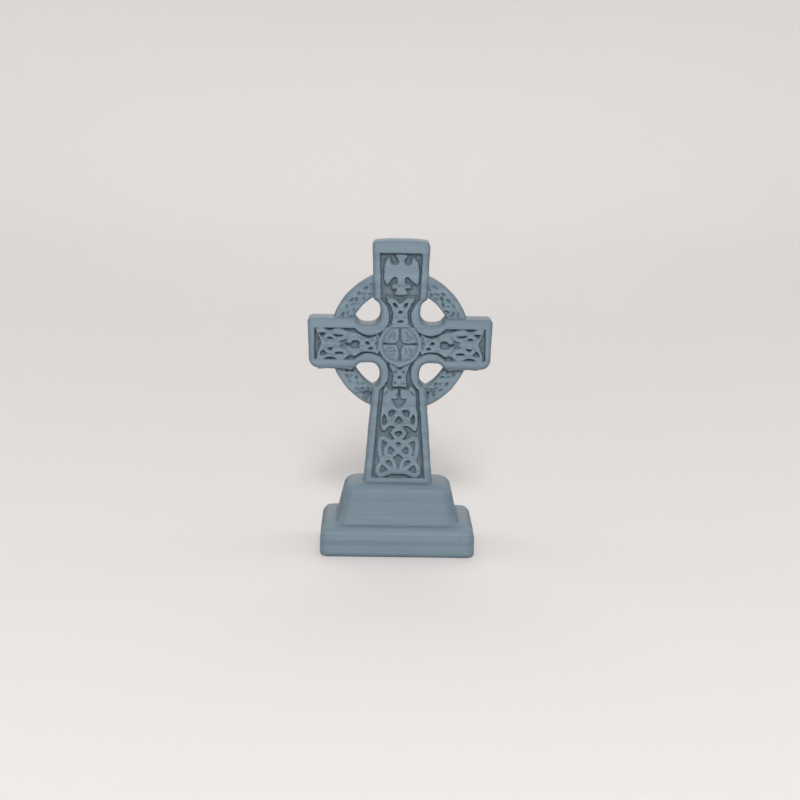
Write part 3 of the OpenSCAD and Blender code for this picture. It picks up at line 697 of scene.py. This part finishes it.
def sculpt(material):
    """The whole print as distances: the plinth's wide block of points, and the cross's thin one on it."""
    rng = np.random.default_rng(THREAD_SEED)
    margin = 4 * VOXEL
    grid = vdb.FloatGrid(BAND * VOXEL)
    grid.transform = vdb.createLinearTransform(voxelSize=VOXEL)
    plinth_block = Block((-STEP_W / 2 - margin, -STEP_D / 2 - margin, -margin),
                         (STEP_W / 2 + margin, STEP_D / 2 + margin, SPLIT_Z))
    cross_block = Block((-ARM_REACH - margin, -CROSS_HALF_T - margin, SPLIT_Z - OVERLAP * VOXEL),
                        (ARM_REACH + margin, CROSS_HALF_T + margin, TOTAL_H + margin))
    for block, has_plinth in ((plinth_block, True), (cross_block, False)):
        z = printed_z(block.z)
        outline = cross_outline(block.xs[:, None], z[0])
        solid = rounded(outline[:, None, :], np.abs(block.y) - CROSS_HALF_T, EDGE_R).astype(np.float32)
        solid = cut_face(solid, block, front_relief(block.xs, z[0, 0]), True)
        solid = cut_face(solid, block, back_relief(block.xs, z[0, 0]), False)
        strands = mesh_distance(tubes(foot_knot_paths(), STRAND_R, material), block)
        solid = np.minimum(solid, np.maximum(strands, -CROSS_HALF_T + TOP - block.y))
        if has_plinth:
            solid = melted(solid, plinth(block, z), FOOT_FILLET)
        else:
            solid = melted(solid, ring(block, z), RING_FILLET)
            for paths, radius in ((thread_paths(rng), THREAD_R), (whisker_paths(rng), WHISKER_R)):
                solid = np.minimum(solid, mesh_distance(tubes(paths, radius, material), block))
        solid = softened(solid + layer_wobble(block.z, np.random.default_rng(WOBBLE_SEED)))
        # softening leaves the last points beside the join rough, so each block drops its own
        solid = solid[:, :, :-2] if has_plinth else solid[:, :, OVERLAP:]
        x, y, first = block.index
        values = np.ascontiguousarray(np.clip(solid, -BAND * VOXEL, BAND * VOXEL), dtype=np.float32)
        grid.copyFromArray(values, ijk=(x, y, first if has_plinth else first + OVERLAP), tolerance=0)
    return grid


def skin(material):
    """The print's mesh, thinned to the number of triangles that it may have."""
    grid = sculpt(material)
    points, quads = grid.convertToQuads(isovalue=0.0)
    mesh = bpy.data.meshes.new("printed_cross")
    mesh.from_pydata(points * MM, [], quads[:, ::-1])
    obj = bpy.data.objects.new("printed_cross", mesh)
    bpy.context.scene.collection.objects.link(obj)
    thin = obj.modifiers.new("thin", "DECIMATE")
    thin.ratio = min(1.0, TRIANGLES / (2 * len(quads)))
    made = bpy.data.meshes.new_from_object(obj.evaluated_get(bpy.context.evaluated_depsgraph_get()))
    obj.modifiers.clear()
    obj.data = made
    bpy.data.meshes.remove(mesh)
    made.shade_smooth()
    made.materials.clear()
    made.materials.append(material)
    return obj


# ---- Materials ----

PLA_SHADE, PLA_LIGHT = "51626e", "647783"
PLA_IOR = 1.46
WALL_ROUGHNESS, TOP_ROUGHNESS = 0.62, 0.48
GROUND_PAINTED_SHADE, TOP_PAINTED_SHEEN, SLOPE_PAINTED_SHADE = 0.7, 1.3, 0.88    # painted shade on the carved ground, painted sheen on flat tops, painted shade on terraced slopes
PAPER_WHITE = "e2e1e1"


def linear(code):
    """A hex sRGB colour as Blender's linear one."""
    parts = [int(code[i:i + 2], 16) / 255 for i in (0, 2, 4)]
    return tuple(p / 12.92 if p <= 0.04045 else ((p + 0.055) / 1.055) ** 2.4 for p in parts) + (1.0,)


def printed_pla():
    """Blue-grey PLA, extruded in layers: satin, a little waxy, with fine lines across every wall."""
    material = bpy.data.materials.new("printed_pla")
    material.use_nodes = True
    tree = material.node_tree
    shader = tree.nodes["Principled BSDF"]
    shader.inputs["IOR"].default_value = PLA_IOR
    place = add_node(tree, "ShaderNodeTexCoord").outputs["Object"]
    spot = add_node(tree, "ShaderNodeSeparateXYZ", {"Vector": place}).outputs
    normal = add_node(tree, "ShaderNodeNewGeometry").outputs["Normal"]
    facing = add_node(tree, "ShaderNodeSeparateXYZ", {"Vector": normal}).outputs

    made = {}    # sockets by name
    for name, stretch, feature_mm, detail in (
            ("uneven", (0.04, 0.04, 1.0), 0.5, 3.0),     # layers that lie in or out
            ("bands", (0.02, 0.02, 1.0), 2.0, 1.0),      # slow drift up the print
            ("grain", (1.0, 1.0, 1.0), 0.35, 3.0)):
        stretched = add_node(tree, "ShaderNodeMapping", {"Vector": place, "Scale": stretch})
        noise = add_node(tree, "ShaderNodeTexNoise", {
            "Vector": stretched.outputs[0], "Scale": 1 / (feature_mm * MM), "Detail": detail})
        made[name] = noise.outputs["Fac"]

    # waves: layers up the walls, and a top skin's lines round its middle, a nozzle's width apart
    flattened = add_node(tree, "ShaderNodeMapping", {"Vector": place, "Scale": (1.0, 1.35, 0.0)})
    from_middle = add_node(tree, "ShaderNodeVectorMath", {0: flattened.outputs[0]}, operation="LENGTH")
    for name, along, pitch in (("layers", spot["Z"], LAYER),
                               ("skin", from_middle.outputs["Value"], NOZZLE)):
        turn = add_node(tree, "ShaderNodeMath", {0: along, 1: 2 * math.pi / (pitch * MM)},
                        operation="MULTIPLY")
        made[name] = add_node(tree, "ShaderNodeMath", {0: turn.outputs[0]}, operation="SINE").outputs[0]

    # masks: 0 to 1, smoothly, as a value goes from the first number to the second
    for name, value, start, end in (
            # flat marks the tops: smoother, and lightened further down with a painted sheen
            ("flat", facing["Z"], 0.55, 0.95),
            ("rising", facing["Z"], 0.08, 0.2),
            ("not_flat", facing["Z"], 0.45, 0.3),
            ("front", facing["Y"], -0.3, -0.7),
            ("below_face", spot["Y"], -3.58 * MM, -2.9 * MM),
            ("before_ring", spot["Y"], -2.03 * MM, -2.15 * MM)):
        made[name] = add_node(tree, "ShaderNodeMapRange", {
            "Value": value, "From Min": start, "From Max": end},
            interpolation_type="SMOOTHSTEP").outputs["Result"]
    # ground marks the sunk ground that faces the front, where painted shade darkens the colour
    for name, a, b in (("sunk", "below_face", "before_ring"), ("ground", "sunk", "front"),
                       # sloping marks leaning walls, darkened with painted shade for the shadows of their
                       # layer steps
                       ("sloping", "rising", "not_flat"), ("skin_lines", "skin", "flat")):
        both = add_node(tree, "ShaderNodeMath", {0: made[a], 1: made[b]}, operation="MULTIPLY")
        made[name] = both.outputs[0]

    # sums: each starts from a number, and its parts add their shares
    for name, total, parts in (
            ("roughness", WALL_ROUGHNESS, {"flat": TOP_ROUGHNESS - WALL_ROUGHNESS}),
            ("shade", -0.75, {"bands": 1.8, "grain": 0.7}),
            # this factor is painted light: painted shade on the carved ground and on slopes, a painted
            # sheen on flat tops
            ("painted_shade_and_sheen", 1.0, {"ground": GROUND_PAINTED_SHADE - 1, "flat": TOP_PAINTED_SHEEN - 1, "sloping": SLOPE_PAINTED_SHADE - 1})):
        for part, share in parts.items():
            total = add_node(tree, "ShaderNodeMath", {0: made[part], 1: share, 2: total},
                             operation="MULTIPLY_ADD").outputs[0]
        made[name] = total

    relief = {"Strength": 1.0}
    for name, depth_mm in (("skin_lines", 0.03), ("layers", 0.011), ("uneven", 0.09), ("grain", 0.02)):
        relief.update({"Height": made[name], "Distance": depth_mm * MM})
        relief["Normal"] = add_node(tree, "ShaderNodeBump", relief).outputs[0]
    plastic = add_node(tree, "ShaderNodeMix", {
        0: made["shade"], 6: linear(PLA_SHADE), 7: linear(PLA_LIGHT)}, data_type="RGBA")
    # the plastic's colour times its painted shade and painted sheen
    colour_with_painted_light = add_node(tree, "ShaderNodeVectorMath", {0: plastic.outputs[2], "Scale": made["painted_shade_and_sheen"]},
                     operation="SCALE")
    for name, socket in (("Base Color", colour_with_painted_light.outputs["Vector"]), ("Roughness", made["roughness"]),
                         ("Normal", relief["Normal"])):
        tree.links.new(socket, shader.inputs[name])
    return material


def paper():
    """Matte white paper: no gloss, so that the floor shows nothing but soft shade."""
    material = bpy.data.materials.new("white_paper")
    material.use_nodes = True
    shader = material.node_tree.nodes["Principled BSDF"]
    shader.inputs["Base Color"].default_value = linear(PAPER_WHITE)
    shader.inputs["Roughness"].default_value = 0.9
    shader.inputs["Specular IOR Level"].default_value = 0.1
    return material


TUBES = tube_tree()
PLA = printed_pla()
cross = skin(PLA)
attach(cross, "root")
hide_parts("celtic_cross")


# ---- Floor, lights and camera ----

def sweep():
    """A white paper floor that curves up into a wall all round, far from the piece."""
    flat, rise, wall, segments = 0.75, 0.45, 1.1, 96
    profile = [(flat * k / 6, 0.0) for k in range(1, 7)]
    profile += [(flat + rise * math.sin(a), rise * (1 - math.cos(a)))
                for a in np.linspace(0.1, math.pi / 2, 14)]
    profile.append((flat + rise, rise + wall))
    turns = np.linspace(0, 2 * math.pi, segments, endpoint=False)
    vertices = [(0, 0, 0)]
    for r, h in profile:
        vertices += [(r * math.cos(t), r * math.sin(t), h) for t in turns]
    faces = [(0, 1 + k, 1 + (k + 1) % segments) for k in range(segments)]
    for row in range(len(profile) - 1):
        a, b = 1 + row * segments, 1 + (row + 1) * segments
        faces += [(a + k, b + k, b + (k + 1) % segments, a + (k + 1) % segments) for k in range(segments)]
    mesh = bpy.data.meshes.new("paper_sweep")
    mesh.from_pydata(vertices, [], faces)
    mesh.shade_smooth()
    mesh.materials.append(paper())
    obj = bpy.data.objects.new("paper_sweep", mesh)
    bpy.context.scene.collection.objects.link(obj)


def light(name, place, target, size, power, color, spread=180):
    """A softbox: places and sizes in metres, power in watts."""
    lamp = bpy.data.lights.new(name, "AREA")
    lamp.shape = "RECTANGLE"
    lamp.size, lamp.size_y = size
    lamp.energy = power
    lamp.color = linear(color)[:3]
    lamp.spread = math.radians(spread)
    obj = bpy.data.objects.new(name, lamp)
    obj.location = place
    obj.rotation_euler = (Vector(target) - Vector(place)).to_track_quat("-Z", "Y").to_euler()
    bpy.context.scene.collection.objects.link(obj)


def camera():
    """A camera a forearm's length away, looking a little down."""
    place_mm = (-5.089, -364.03, 87.21)
    yaw, pitch, roll = -0.014645, 0.159200, 0.016740
    right = Vector((math.cos(yaw), math.sin(yaw), 0))
    forward = Vector((-math.sin(yaw) * math.cos(pitch), math.cos(yaw) * math.cos(pitch),
                      -math.sin(pitch)))
    up = right.cross(forward)
    x_axis = math.cos(roll) * right + math.sin(roll) * up
    y_axis = -math.sin(roll) * right + math.cos(roll) * up
    lens = bpy.data.cameras.new("camera")
    lens.sensor_width = 36
    lens.lens = 85.5
    lens.clip_start = 0.01
    obj = bpy.data.objects.new("camera", lens)
    turn = Matrix((x_axis, y_axis, -forward)).transposed().to_4x4()
    obj.matrix_world = Matrix.Translation(Vector(place_mm) * MM) @ turn
    bpy.context.scene.collection.objects.link(obj)
    bpy.context.scene.camera = obj


sweep()
light("front_softbox", (0, -1.07, 0.56), (0, 0, 0.03), (0.15, 0.34), 13.6, "fffbf8")
light("back_panel", (0, 0.85, 0.62), (0, 0.05, 0.03), (0.7, 0.5), 2.1, "fffdfa")
light("left_wall", (-0.5, 0.12, 0.2), (0, 0, 0.03), (0.4, 0.3), 0.38, "fffdfc")
light("right_wall", (0.5, 0.12, 0.2), (0, 0, 0.03), (0.4, 0.3), 0.38, "fffdfc")
light("wall_wash", (0, 0.4, 0.9), (0, 1.1, 0.3), (0.4, 0.4), 0.25, "fffdfc", spread=120)
world = bpy.data.worlds.new("soft_room")
bpy.context.scene.world = world
world.use_nodes = True
world.node_tree.nodes["Background"].inputs["Color"].default_value = linear("fbfaf9")
world.node_tree.nodes["Background"].inputs["Strength"].default_value = 0.255
bpy.context.scene.view_settings.view_transform = "Standard"
camera()
